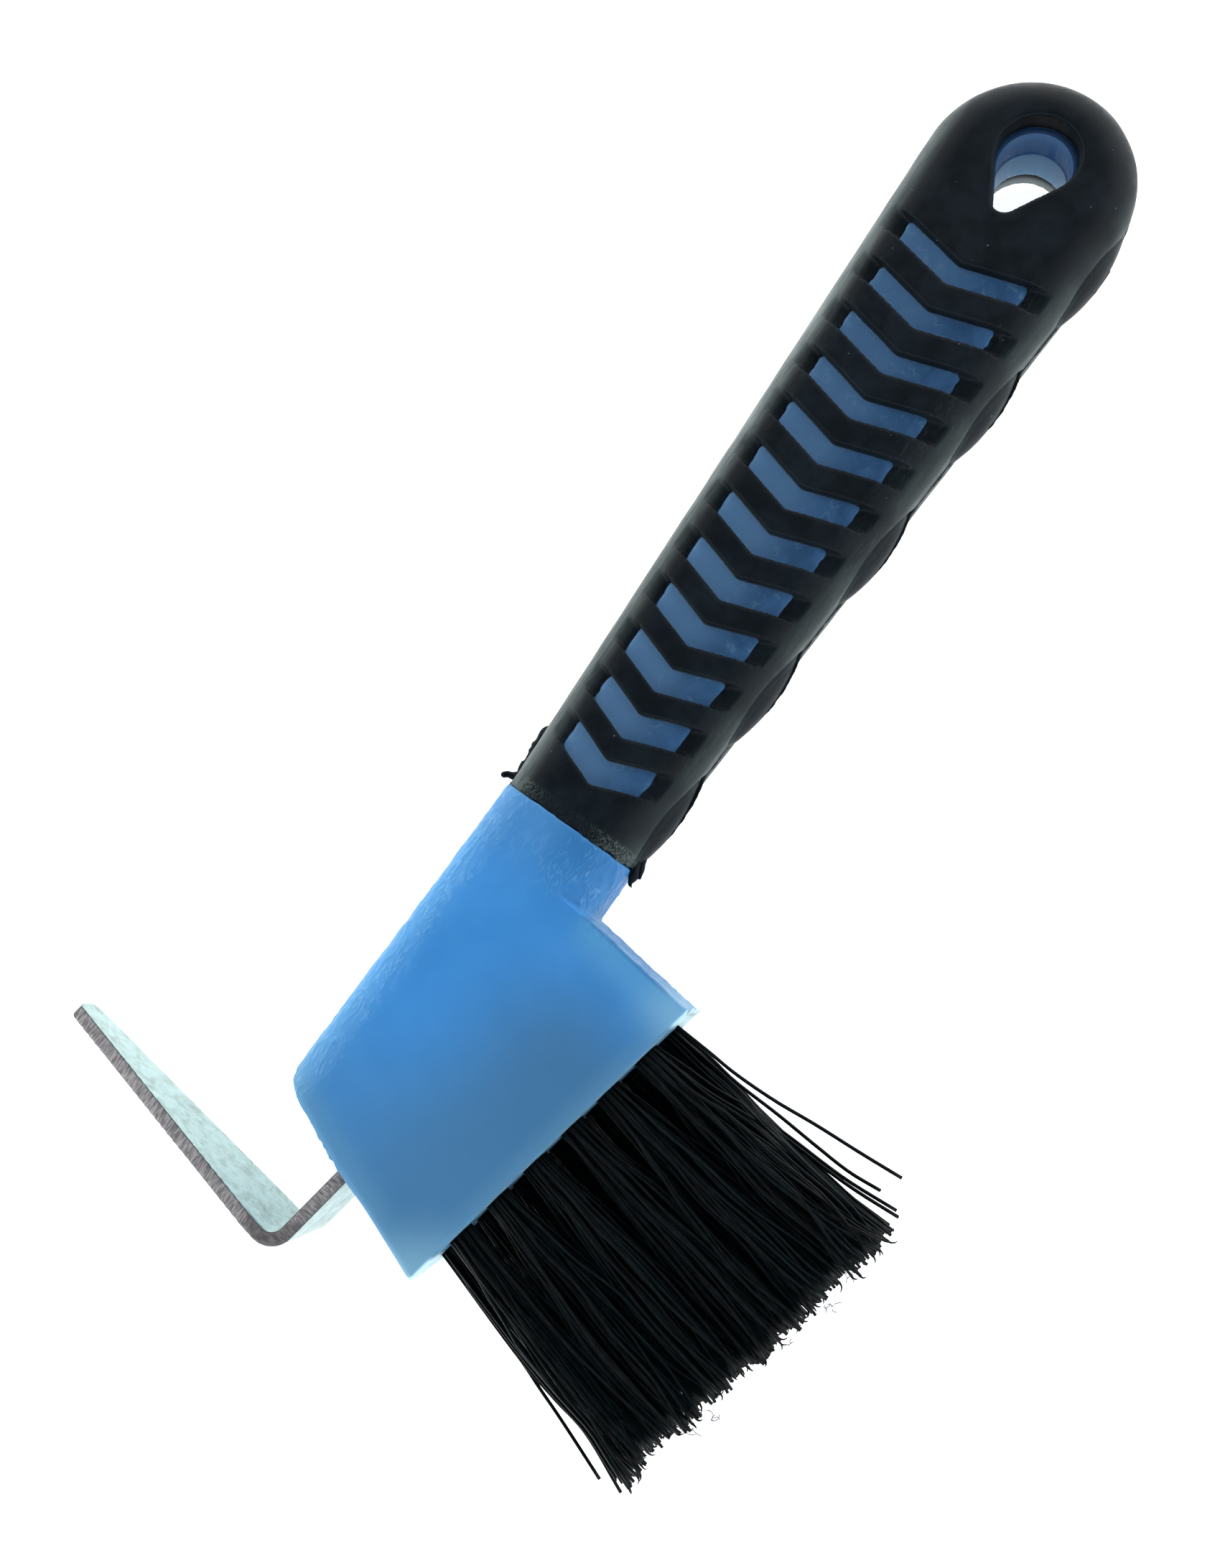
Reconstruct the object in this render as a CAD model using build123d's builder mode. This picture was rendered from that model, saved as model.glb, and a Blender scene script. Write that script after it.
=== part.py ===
from build123d import *
import os
from math import asin, atan2, cos, degrees, radians, sin, tan

# A hoof pick with a brush. It lies flat on its back: +X runs along the handle from the
# head to its rounded end, +Y points to the side of the hook's tip, -Y to the side of the
# bristles, and +Z is up. The origin is the middle of the whole object's footprint.

# ---- driving dimensions, in mm ----
head_thickness = 20.2
mid_z = head_thickness / 2          # height of the plane that halves the thickness
axis_y = 13.0                       # the handle's centre line, measured from the origin

# handle: a straight taper with a round end, and a soft sleeve over it
cuff_x = -32.0                      # where the sleeve starts
end_x = 91.4                        # centre of the round end
cuff_half_width = 11.4
end_radius = 17.3
sleeve_half_thickness = 9.9
sleeve_edge_radius = 7.4            # large rounding all along the sleeve's two faces
core_half_thickness = 7.7           # the hard core's face is also the floor of the grooves
core_cuff_half = 8.95
core_end_radius = 13.5
core_chamfer = 2.3

# chevron grooves on both faces of the sleeve
chevron_count = 12
chevron_pitch = 8.545
first_chevron_x = -25.2
first_chevron_width = 4.5           # they narrow evenly towards the end
last_chevron_width = 3.95
chevron_sweep = 2.6                 # how far the arms reach back at the edge of the core's face

# finger rests: shallow spindle-shaped bumps along the lower side
rest_centres = [-22.4, 2.2, 30.2, 58.3, 85.8]
rest_length = 17.0
rest_rise = 1.4
rest_radius = 5.6

# hanging hole: a teardrop, its round end towards the handle's end
hole_x = 93.8
hole_radius = 6.5
hole_tip_distance = 9.0
hole_tip_radius = 2.0
core_hole_inset = 0.6               # the core's hole is smaller than the sleeve's
collar_rim = 1.6                    # the sleeve fills a recess this wide around the hole
collar_depth = 1.7                  # and this deep, on both of the core's faces
parting_step = 0.15                 # step at mid height, where the two mould halves meet

# head block
neck_x = -41.4                      # right side of the head, at the neck
head_top_left = (-87.4, 25.5)
head_corner_radius = 4.4
left_rim_radius = 1.6               # rounding between the two faces and the hook's side
face_start = (-99.3, -8.1)          # the bristle face's two ends
face_end = (-43.9, -18.7)
neck_half_width = 11.6
top_edge_radius = 7.4
block_edge_radius = 0.5
bar_reach = 100.0                   # longer than the head in every direction

# bristles: three staggered rows of tufts, each folded over a flat wire anchor
row_counts = [6, 7, 6]
row_spacing = 6.0
tuft_pitch = 7.5
bank_shift = 0.0                    # the bank's middle, from the middle of the bristle face
hole_depth = 11.0
tuft_root_radius = 2.2
tuft_tip_radius = 3.0
bristle_length = 42.2
fan_mean = 1.2                      # degrees from square to the face, at the bank's middle
fan_side = 4.1                      # degrees more at the bank's two ends
fan_rows = 1.3                      # degrees between rows
anchor_thickness = 0.5
anchor_height = 1.8
anchor_length = 5.2
anchor_depth = 8.0                  # top of the anchor, below the bristle face

# hook: one bent strip of flat steel, its inner leg moulded into the head
strip_thickness = 2.2
strip_width = 17.6
bend_corner = (-109.6, 10.6)        # where the strip's two outer faces would meet
leg_angle = -9.3
blade_angle = 81.5
leg_length = 52.0
blade_length = 51.5
bend_outer_radius = 4.4
tip_width = 5.0
tip_radius = 1.6
taper_start = 6.5                   # height above the bend corner where the blade narrows
key_hole_radius = 2.6               # holes that the moulded head flows through
key_hole_places = [28.0, 39.0, 48.0]


def flat(height):
    """A horizontal plane at a height above the middle plane."""
    return Plane.XY.offset(mid_z + height)


def section(x):
    """A plane square to the handle at x, with its own x along +Y."""
    return Plane(origin=(x, axis_y, mid_z), x_dir=(0, 1, 0), z_dir=(1, 0, 0))


def top_line(x):
    """Height of the straight upper side of the head and neck at x."""
    fall = (axis_y + cuff_half_width - head_top_left[1]) / (cuff_x - head_top_left[0])
    return head_top_left[1] + fall * (x - head_top_left[0])


def half_width(x, cuff_half, round_radius):
    """Half width of a straight taper at x, from the cuff to the round end."""
    return cuff_half + (round_radius - cuff_half) * (x - cuff_x) / (end_x - cuff_x)


def taper_outline(start_x, start_half, round_radius):
    """The outline of a straight taper that ends in a half round tangent to its sides."""
    reach = end_x - start_x
    lean = atan2(round_radius - start_half, reach)
    touch = (end_x - round_radius * sin(lean), round_radius * cos(lean))
    upper = (touch[0], axis_y + touch[1])
    lower = (touch[0], axis_y - touch[1])
    Polyline(lower, (start_x, axis_y - start_half), (start_x, axis_y + start_half), upper)
    ThreePointArc(upper, (end_x + round_radius, axis_y), lower)


def teardrop(inset):
    """The hanging hole's outline, drawn smaller by an inset."""
    big = hole_radius - inset
    small = hole_tip_radius - inset
    lean = asin((big - small) / hole_tip_distance)
    tip_x = hole_x - hole_tip_distance
    side = [(big * sin(lean), big * cos(lean)), (small * sin(lean), small * cos(lean))]
    right_top = (hole_x - side[0][0], axis_y + side[0][1])
    right_low = (hole_x - side[0][0], axis_y - side[0][1])
    left_top = (tip_x - side[1][0], axis_y + side[1][1])
    left_low = (tip_x - side[1][0], axis_y - side[1][1])
    ThreePointArc(right_low, (hole_x + big, axis_y), right_top)
    Line(right_top, left_top)
    ThreePointArc(left_top, (tip_x - small, axis_y), left_low)
    Line(left_low, right_low)


def chevron(index, half_height):
    """One arrow-shaped band that points to the head, as a closed outline."""
    left = first_chevron_x + index * chevron_pitch
    core_face_half = half_width(left, core_cuff_half, core_end_radius) - core_chamfer
    reach = chevron_sweep * half_height / core_face_half
    share = index / (chevron_count - 1)
    right = left + first_chevron_width + (last_chevron_width - first_chevron_width) * share
    Polyline(
        (left, axis_y),
        (left + reach, axis_y + half_height),
        (right + reach, axis_y + half_height),
        (right, axis_y),
        (right + reach, axis_y - half_height),
        (left + reach, axis_y - half_height),
        close=True,
    )


# ---- bristle face ----
face_angle = degrees(atan2(face_end[1] - face_start[1], face_end[0] - face_start[0]))
face_middle = ((face_start[0] + face_end[0]) / 2, (face_start[1] + face_end[1]) / 2, mid_z)
face_along = (cos(radians(face_angle)), sin(radians(face_angle)), 0)
face_out = (sin(radians(face_angle)), -cos(radians(face_angle)), 0)


def face_plane(distance):
    """A plane parallel to the bristle face, at a distance outside it."""
    shift = [middle + distance * out for middle, out in zip(face_middle, face_out)]
    return Plane(origin=shift, x_dir=face_along, z_dir=face_out)


# tuft places on the face: (along the face, across the rows)
tuft_places = [
    (bank_shift + (number - (count - 1) / 2) * tuft_pitch, (row - 1) * row_spacing)
    for row, count in enumerate(row_counts)
    for number in range(count)
]
bank_half = (max(row_counts) - 1) / 2 * tuft_pitch


def tip_place(place):
    """Where a tuft's middle is at its tips: the bank fans out a little on its way."""
    along_angle = fan_mean + fan_side * (place[0] - bank_shift) / bank_half
    across_angle = fan_rows * place[1] / row_spacing
    return (
        place[0] + bristle_length * tan(radians(along_angle)),
        place[1] + bristle_length * tan(radians(across_angle)),
    )


# ---- hook strip ----
leg_out = Vector(cos(radians(leg_angle)), sin(radians(leg_angle)), 0)
blade_up = Vector(cos(radians(blade_angle)), sin(radians(blade_angle)), 0)
corner = Vector(bend_corner[0], bend_corner[1], 0)
inner_corner = corner + (leg_out + blade_up) * (strip_thickness / sin(radians(blade_angle - leg_angle)))
leg_face = Vector(-leg_out.Y, leg_out.X, 0)
blade_face = Vector(blade_up.Y, -blade_up.X, 0)
tip_y = corner.Y + blade_length * sin(radians(blade_angle))

with BuildPart() as hook_strip:
    with BuildSketch(flat(0)) as strip_profile:
        with BuildLine():
            leg_end = corner + leg_out * leg_length
            blade_end = corner + blade_up * blade_length
            Polyline(
                corner,
                leg_end,
                leg_end + leg_face * strip_thickness,
                inner_corner,
                blade_end + blade_face * strip_thickness,
                blade_end,
                close=True,
            )
        make_face()
        bend_outside = strip_profile.vertices().sort_by_distance(corner)[0]
        fillet(bend_outside, bend_outer_radius)
        bend_inside = strip_profile.vertices().sort_by_distance(inner_corner)[0]
        fillet(bend_inside, bend_outer_radius - strip_thickness)
    extrude(amount=strip_width / 2, both=True)
    # the blade narrows towards its tip, seen along the handle
    with BuildSketch(Plane(origin=(bend_corner[0] - 10, 0, mid_z), x_dir=(0, 1, 0), z_dir=(1, 0, 0))):
        with BuildLine():
            taper_y = corner.Y + taper_start
            Polyline(
                (corner.Y - 20, strip_width / 2),
                (taper_y, strip_width / 2),
                (tip_y + 1, tip_width / 2),
                (tip_y + 1, -tip_width / 2),
                (taper_y, -strip_width / 2),
                (corner.Y - 20, -strip_width / 2),
                close=True,
            )
        make_face()
    extrude(amount=leg_length + 20, mode=Mode.INTERSECT)
    tip_edges = hook_strip.edges().filter_by(lambda edge: edge.length < strip_thickness * 1.2)
    tip_edges = tip_edges.sort_by(Axis.Y)[-2:]
    fillet(tip_edges, tip_radius)
    for place in key_hole_places:
        middle = corner + leg_out * place + leg_face * (strip_thickness / 2)
        with BuildSketch(Plane(origin=(middle.X, middle.Y, mid_z), x_dir=leg_out, z_dir=leg_face)):
            Circle(key_hole_radius)
        extrude(amount=strip_thickness, both=True, mode=Mode.SUBTRACT)

# ---- flat wire anchors, one under each tuft ----
with BuildPart() as tuft_anchors:
    with BuildSketch(face_plane(-anchor_depth)):
        with Locations(*tuft_places):
            Rectangle(anchor_length, anchor_thickness)
    extrude(amount=-anchor_height)

# ---- the handle's core, which the hard body adds and the sleeve leaves room for ----
with BuildPart() as core:
    with BuildSketch(flat(0)):
        with BuildLine():
            taper_outline(cuff_x - 1, core_cuff_half, core_end_radius)
        make_face()
    extrude(amount=core_half_thickness, both=True)
    rims = core.faces().sort_by(Axis.Z)[0].edges() + core.faces().sort_by(Axis.Z)[-1].edges()
    chamfer([edge for edge in rims if edge.center().X > cuff_x], core_chamfer)
    # a recess around the hanging hole on each face, which the sleeve fills with a collar
    for side in (1, -1):
        with BuildSketch(flat(side * core_half_thickness)):
            with BuildLine():
                teardrop(-collar_rim)
            make_face()
        extrude(amount=-side * collar_depth, mode=Mode.SUBTRACT)

# ---- the neck, a rounded bar from inside the head to the sleeve ----
with BuildPart() as neck:
    with BuildSketch(flat(0)):
        with BuildLine():
            neck_start = neck_x - 2 * top_edge_radius
            Polyline(
                (neck_start, axis_y - neck_half_width),
                (cuff_x, axis_y - cuff_half_width),
                (cuff_x, axis_y + cuff_half_width),
                (neck_start, top_line(neck_start)),
                close=True,
            )
        make_face()
    extrude(amount=mid_z, both=True)
    rims = neck.faces().sort_by(Axis.Z)[0].edges() + neck.faces().sort_by(Axis.Z)[-1].edges()
    fillet([edge for edge in rims if neck_start + 1 < edge.center().X < cuff_x - 1], top_edge_radius)

# ---- hard body: head, neck and core in one moulding ----
with BuildPart() as handle_body:
    # head block, flat on both faces, with one rounded corner
    with BuildSketch(flat(0)) as head_outline:
        with BuildLine():
            Polyline(
                face_start,
                face_end,
                (neck_x, axis_y - neck_half_width),
                (neck_x, top_line(neck_x)),
                head_top_left,
                close=True,
            )
        make_face()
        top_left = head_outline.vertices().sort_by_distance(Vector(head_top_left[0], head_top_left[1], 0))[0]
        fillet(top_left, head_corner_radius)
    extrude(amount=mid_z, both=True)
    # its top is rounded from face to face, as a bar that runs along the top line
    top_along = (neck_x - head_top_left[0], top_line(neck_x) - head_top_left[1], 0)
    top_plane = Plane(origin=(head_top_left[0], head_top_left[1], mid_z), x_dir=(0, 0, 1), z_dir=top_along)
    with BuildSketch(top_plane):
        with Locations((0, bar_reach / 2)):
            RectangleRounded(head_thickness, bar_reach, top_edge_radius)
    extrude(amount=bar_reach, both=True, mode=Mode.INTERSECT)
    # small rounding of the rims of both faces: first at the hook's side, then at the bristles' side
    left_lines = handle_body.faces().sort_by(Axis.X)[0].edges().filter_by(GeomType.LINE)
    fillet([edge for edge in left_lines if abs(edge.center().Z - mid_z) > 1], left_rim_radius)
    rims = handle_body.faces().sort_by(Axis.Z)[0].edges() + handle_body.faces().sort_by(Axis.Z)[-1].edges()
    fillet([edge for edge in rims if edge.center().Y < face_start[1]], block_edge_radius)
    add(neck.part)
    add(core.part)
    # hanging hole, with a small step where the mould halves meet
    for inset, way in ((core_hole_inset, 1), (core_hole_inset + parting_step, -1)):
        with BuildSketch(flat(0)):
            with BuildLine():
                teardrop(inset)
            make_face()
        extrude(amount=way * head_thickness, mode=Mode.SUBTRACT)
    # blind holes for the tufts, and the pockets that the anchors and the hook sit in
    with BuildSketch(face_plane(0)):
        with Locations(*tuft_places):
            Circle(tuft_root_radius)
    extrude(amount=-hole_depth, mode=Mode.SUBTRACT)
    add(tuft_anchors.part, mode=Mode.SUBTRACT)
    add(hook_strip.part, mode=Mode.SUBTRACT)

# ---- soft sleeve over the core ----
with BuildPart() as grip_sleeve:
    with BuildSketch(flat(0)):
        with BuildLine():
            taper_outline(cuff_x, cuff_half_width, end_radius)
        make_face()
    extrude(amount=sleeve_half_thickness, both=True)
    rims = grip_sleeve.faces().sort_by(Axis.Z)[0].edges() + grip_sleeve.faces().sort_by(Axis.Z)[-1].edges()
    fillet([edge for edge in rims if edge.center().X > cuff_x + 1], sleeve_edge_radius)
    # finger rests: spindles whose outer sides stand proud as lens-shaped bumps
    half = rest_length / 2 + 2.5
    end_radius_of_rest = rest_radius - rest_rise * (2 * half / rest_length) ** 2
    for centre in rest_centres:
        side = half_width(centre, cuff_half_width, end_radius)
        turn_y = axis_y - side - rest_rise + rest_radius
        with BuildSketch(Plane(origin=(centre, turn_y, mid_z), x_dir=(1, 0, 0), z_dir=(0, 0, 1))):
            with BuildLine():
                ThreePointArc((-half, -end_radius_of_rest), (0, -rest_radius), (half, -end_radius_of_rest))
                Polyline((half, -end_radius_of_rest), (half, 0), (-half, 0), (-half, -end_radius_of_rest))
            make_face()
        revolve(axis=Axis((centre, turn_y, mid_z), (1, 0, 0)))
    split(bisect_by=section(cuff_x), keep=Keep.TOP)
    # chevron grooves, cut down to the level of the core's face on both sides
    for side in (1, -1):
        with BuildSketch(flat(side * core_half_thickness)):
            for index in range(chevron_count):
                with BuildLine():
                    chevron(index, end_radius + 1)
                make_face()
        extrude(amount=side * (mid_z - core_half_thickness + 1), mode=Mode.SUBTRACT)
    # hanging hole, right through
    with BuildSketch(flat(0)):
        with BuildLine():
            teardrop(0)
        make_face()
    extrude(amount=head_thickness, both=True, mode=Mode.SUBTRACT)
    add(core.part, mode=Mode.SUBTRACT)

os.makedirs("parts", exist_ok=True)

# ---- bristle tufts: a root in the blind hole, and a free part that widens as it fans out ----
for number, place in enumerate(tuft_places, start=1):
    with BuildPart() as bristle_tuft:
        with BuildSketch(face_plane(-hole_depth)):
            with Locations(place):
                Circle(tuft_root_radius)
        extrude(amount=hole_depth)
        add(tuft_anchors.part, mode=Mode.SUBTRACT)
        with BuildSketch(face_plane(0)):
            with Locations(place):
                Circle(tuft_root_radius)
        with BuildSketch(face_plane(bristle_length)):
            with Locations(tip_place(place)):
                Circle(tuft_tip_radius)
        loft()
    name = f"bristle_tuft_{number:02d}"
    bristle_tuft.part.label = name
    export_step(bristle_tuft.part, f"parts/{name}.step")

handle_body.part.label = "handle_body"
export_step(handle_body.part, "parts/handle_body.step")
grip_sleeve.part.label = "grip_sleeve"
export_step(grip_sleeve.part, "parts/grip_sleeve.step")
hook_strip.part.label = "hook_strip"
export_step(hook_strip.part, "parts/hook_strip.step")
tuft_anchors.part.label = "tuft_anchors"
export_step(tuft_anchors.part, "parts/tuft_anchors.step")
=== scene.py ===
from math import cos, pi, radians, sin, sqrt

import bpy
import numpy as np
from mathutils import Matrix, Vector


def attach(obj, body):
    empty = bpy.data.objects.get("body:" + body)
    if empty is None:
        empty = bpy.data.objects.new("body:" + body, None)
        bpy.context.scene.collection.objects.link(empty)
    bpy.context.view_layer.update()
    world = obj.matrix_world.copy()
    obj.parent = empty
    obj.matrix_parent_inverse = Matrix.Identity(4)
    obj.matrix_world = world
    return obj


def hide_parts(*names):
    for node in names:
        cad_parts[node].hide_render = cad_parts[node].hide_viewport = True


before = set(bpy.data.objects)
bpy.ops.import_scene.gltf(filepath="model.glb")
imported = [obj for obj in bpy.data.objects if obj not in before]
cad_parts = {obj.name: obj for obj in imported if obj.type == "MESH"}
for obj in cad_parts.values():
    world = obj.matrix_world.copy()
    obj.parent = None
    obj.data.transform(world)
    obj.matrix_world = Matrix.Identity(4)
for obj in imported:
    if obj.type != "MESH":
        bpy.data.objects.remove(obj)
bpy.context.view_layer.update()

# A hoof pick with a brush, lying flat. +X runs along the handle to its rounded end, +Y points to
# the side of the hook's tip, -Y to the side of the bristles, +Z is up. Metres.
MM = 0.001

# ---- design values shared with the CAD model ----
MID_Z = 10.1 * MM
AXIS_Y = 13.0 * MM
CUFF_X = -32.0 * MM
END_X = 91.4 * MM
CUFF_HALF = 11.4 * MM
END_RADIUS = 17.3 * MM
CORE_FACE = 7.7 * MM                # height of the core's face and the groove floors, from mid height
CORE_CUFF_HALF = 8.95 * MM
CORE_END_RADIUS = 13.5 * MM
CORE_CHAMFER = 2.3 * MM
NECK_X = -41.4 * MM
NECK_HALF = 11.6 * MM
HEAD_TOP_LEFT = np.array([-87.4, 25.5]) * MM
FACE_START = np.array([-99.3, -8.1]) * MM
FACE_END = np.array([-43.9, -18.7]) * MM
REST_CENTRES = np.array([-22.4, 2.2, 30.2, 58.3, 85.8]) * MM
REST_LENGTH = 17.0 * MM
REST_RISE = 1.4 * MM
REST_RADIUS = 5.6 * MM
HOLE_X = 93.8 * MM
COLLAR_DEPTH = 1.7 * MM
WALL_RADIUS_FRONT = 5.9 * MM        # the core's hole, in the front and back half of the moulding
WALL_RADIUS_BACK = 5.75 * MM
BEND_X = -109.6 * MM
BEND_Y = 10.6 * MM
HOOK_ENTRY_Y = 8.9 * MM

# ---- how finely the visual meshes are made ----
MOULDING_VOXEL = 0.34 * MM
STRIP_VOXEL = 0.22 * MM
MOST_TRIANGLES = 190000
FIN_SPACING = 0.35 * MM
FIN_ROOT = 0.4 * MM                 # how deep a fin is set into the piece that it grew on
FIN_SHOULDER = 0.6                  # the height and the width of a fin's shoulder, as shares
SLEEVE_FIN = 0.14 * MM              # half the thickness of a fin on the sleeve

# ---- directions ----
FACE_LENGTH = np.linalg.norm(FACE_END - FACE_START)
FACE_ALONG = np.array([*(FACE_END - FACE_START) / FACE_LENGTH, 0.0])
FACE_OUT = np.array([FACE_ALONG[1], -FACE_ALONG[0], 0.0])
UP_X = np.array([1.0, 0.0, 0.0])
UP_Y = np.array([0.0, 1.0, 0.0])
UP_Z = np.array([0.0, 0.0, 1.0])


def square_to(start, end):
    """The direction square to the line from start to end, on its left side."""
    along = (end - start) / np.linalg.norm(end - start)
    return np.array([-along[1], along[0], 0.0])


def level_of(outward, point):
    """How far a point lies along an outward direction."""
    return float(outward[:2] @ point)


cuff_top = np.array([CUFF_X, AXIS_Y + CUFF_HALF])
neck_low = np.array([NECK_X, AXIS_Y - NECK_HALF])
TOP_OUT = square_to(HEAD_TOP_LEFT, cuff_top)
LEFT_OUT = square_to(FACE_START, HEAD_TOP_LEFT)
RIGHT_OUT = square_to(neck_low, FACE_END)
FACE_LEVEL = level_of(FACE_OUT, FACE_START)
TOP_LEVEL = level_of(TOP_OUT, HEAD_TOP_LEFT)
RIGHT_LEVEL = level_of(RIGHT_OUT, FACE_END)


def new_object(name, data):
    """A mesh, a light or a camera as an object in the scene."""
    item = bpy.data.objects.new(name, data)
    bpy.context.scene.collection.objects.link(item)
    return item


# ---- camera ----
def add_camera():
    """A camera above the object, turned so that the handle rises to the right."""
    place = Vector((-33.3, -34.0, 235.1)) * MM
    target = Vector((-22.9, 12.3, 10.1)) * MM
    roll = radians(55.08)
    ahead = (target - place).normalized()
    y_seen = (Vector((0, 1, 0)) - ahead * ahead.y).normalized()
    up = y_seen * cos(roll) + ahead.cross(y_seen) * sin(roll)
    right = ahead.cross(up)
    camera = new_object("camera", bpy.data.cameras.new("camera"))
    camera.data.sensor_width = 36
    camera.data.lens = 33.79
    camera.data.clip_start = 10 * MM
    for row in range(3):
        camera.matrix_world[row][0:3] = right[row], up[row], -ahead[row]
        camera.matrix_world[row][3] = place[row]
    bpy.context.scene.camera = camera


# ---- node helpers ----
class Nodes:
    """Short calls for building one material's node tree."""

    def __init__(self, name):
        self.material = bpy.data.materials.new(name)
        self.material.use_nodes = True
        self.tree = self.material.node_tree
        self.shader = self.tree.nodes["Principled BSDF"]
        self.place = self.add("ShaderNodeTexCoord").outputs["Object"]

    def add(self, kind, **settings):
        """A new node with some of its settings."""
        node = self.tree.nodes.new(kind)
        for key, value in settings.items():
            setattr(node, key, value)
        return node

    def feed(self, socket, value):
        """Links an output to a socket, or sets the socket to a plain value."""
        if isinstance(value, bpy.types.NodeSocket):
            self.tree.links.new(value, socket)
        else:
            socket.default_value = value

    def noise(self, size, detail=4.0, roughness=0.55, stretch=(1, 1, 1), distortion=0.0):
        """Noise from 0 to 1 with features about size metres across."""
        mapping = self.add("ShaderNodeMapping")
        self.feed(mapping.inputs["Vector"], self.place)
        mapping.inputs["Scale"].default_value = [1 / (size * s) for s in stretch]
        noise = self.add("ShaderNodeTexNoise")
        self.feed(noise.inputs["Vector"], mapping.outputs[0])
        noise.inputs["Scale"].default_value = 1.0
        noise.inputs["Detail"].default_value = detail
        noise.inputs["Roughness"].default_value = roughness
        noise.inputs["Distortion"].default_value = distortion
        return noise.outputs[0]

    def cells(self, size):
        """Distance to scattered points about size metres apart, in units of size."""
        mapping = self.add("ShaderNodeMapping")
        self.feed(mapping.inputs["Vector"], self.place)
        mapping.inputs["Scale"].default_value = [1 / size] * 3
        cells = self.add("ShaderNodeTexVoronoi")
        self.feed(cells.inputs["Vector"], mapping.outputs[0])
        cells.inputs["Scale"].default_value = 1.0
        return cells.outputs["Distance"]

    def ramp(self, value, low, high, to_low=0.0, to_high=1.0):
        """value from low..high to to_low..to_high, smooth at both ends."""
        node = self.add("ShaderNodeMapRange", interpolation_type="SMOOTHSTEP")
        for socket, given in zip(node.inputs, (value, low, high, to_low, to_high)):
            self.feed(socket, given)
        return node.outputs[0]

    def lines(self, size, count, width, detail=1.0, stretch=(1, 1, 1)):
        """Thin curved lines that follow the contours of a noise field, 1 on a line and 0 off it."""
        field = self.times(self.noise(size, detail=detail, stretch=stretch), count)
        folded = self.math("PINGPONG", field, 0.5)
        return self.ramp(folded, width, 0.0)

    def math(self, operation, a, b=0.0):
        """The result of one sum on two values."""
        node = self.add("ShaderNodeMath", operation=operation)
        self.feed(node.inputs[0], a)
        self.feed(node.inputs[1], b)
        return node.outputs[0]

    def times(self, product, *shares):
        """The product of several values."""
        for share in shares:
            product = self.math("MULTIPLY", product, share)
        return product

    def minus(self, a, b):
        """a less b."""
        return self.math("SUBTRACT", a, b)

    def off(self, value, middle):
        """How far a value is from a middle one, either way."""
        return self.math("ABSOLUTE", self.minus(value, middle))

    def along(self, direction, vector=None):
        """How far a point lies along a direction, in metres, or a vector's share of it."""
        node = self.add("ShaderNodeVectorMath", operation="DOT_PRODUCT")
        self.feed(node.inputs[0], self.place if vector is None else vector)
        node.inputs[1].default_value = direction
        return node.outputs["Value"]

    def mix(self, share, a, b):
        """A colour between a and b."""
        node = self.add("ShaderNodeMix", data_type="RGBA")
        self.feed(node.inputs[0], share)
        self.feed(node.inputs[6], a)
        self.feed(node.inputs[7], b)
        return node.outputs[2]

    def bump(self, layers):
        """Bumps stacked on each other, each (height from 0 to 1, depth in metres)."""
        normal = None
        for height, depth in layers:
            node = self.add("ShaderNodeBump")
            node.inputs["Distance"].default_value = depth
            node.inputs["Strength"].default_value = 1.0
            self.feed(node.inputs["Height"], height)
            if normal:
                self.feed(node.inputs["Normal"], normal)
            normal = node.outputs[0]
        self.feed(self.shader.inputs["Normal"], normal)

    def set(self, **values):
        """Sets or links the shader's sockets, named with _ for a space."""
        for key, value in values.items():
            self.feed(self.shader.inputs[key.replace("_", " ")], value)


def rgb(red, green, blue):
    """A linear colour from 0..255 display values."""
    linear = []
    for shown in (red / 255, green / 255, blue / 255):
        linear.append(shown / 12.92 if shown < 0.0404 else ((shown + 0.055) / 1.055) ** 2.4)
    return (*linear, 1.0)


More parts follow.
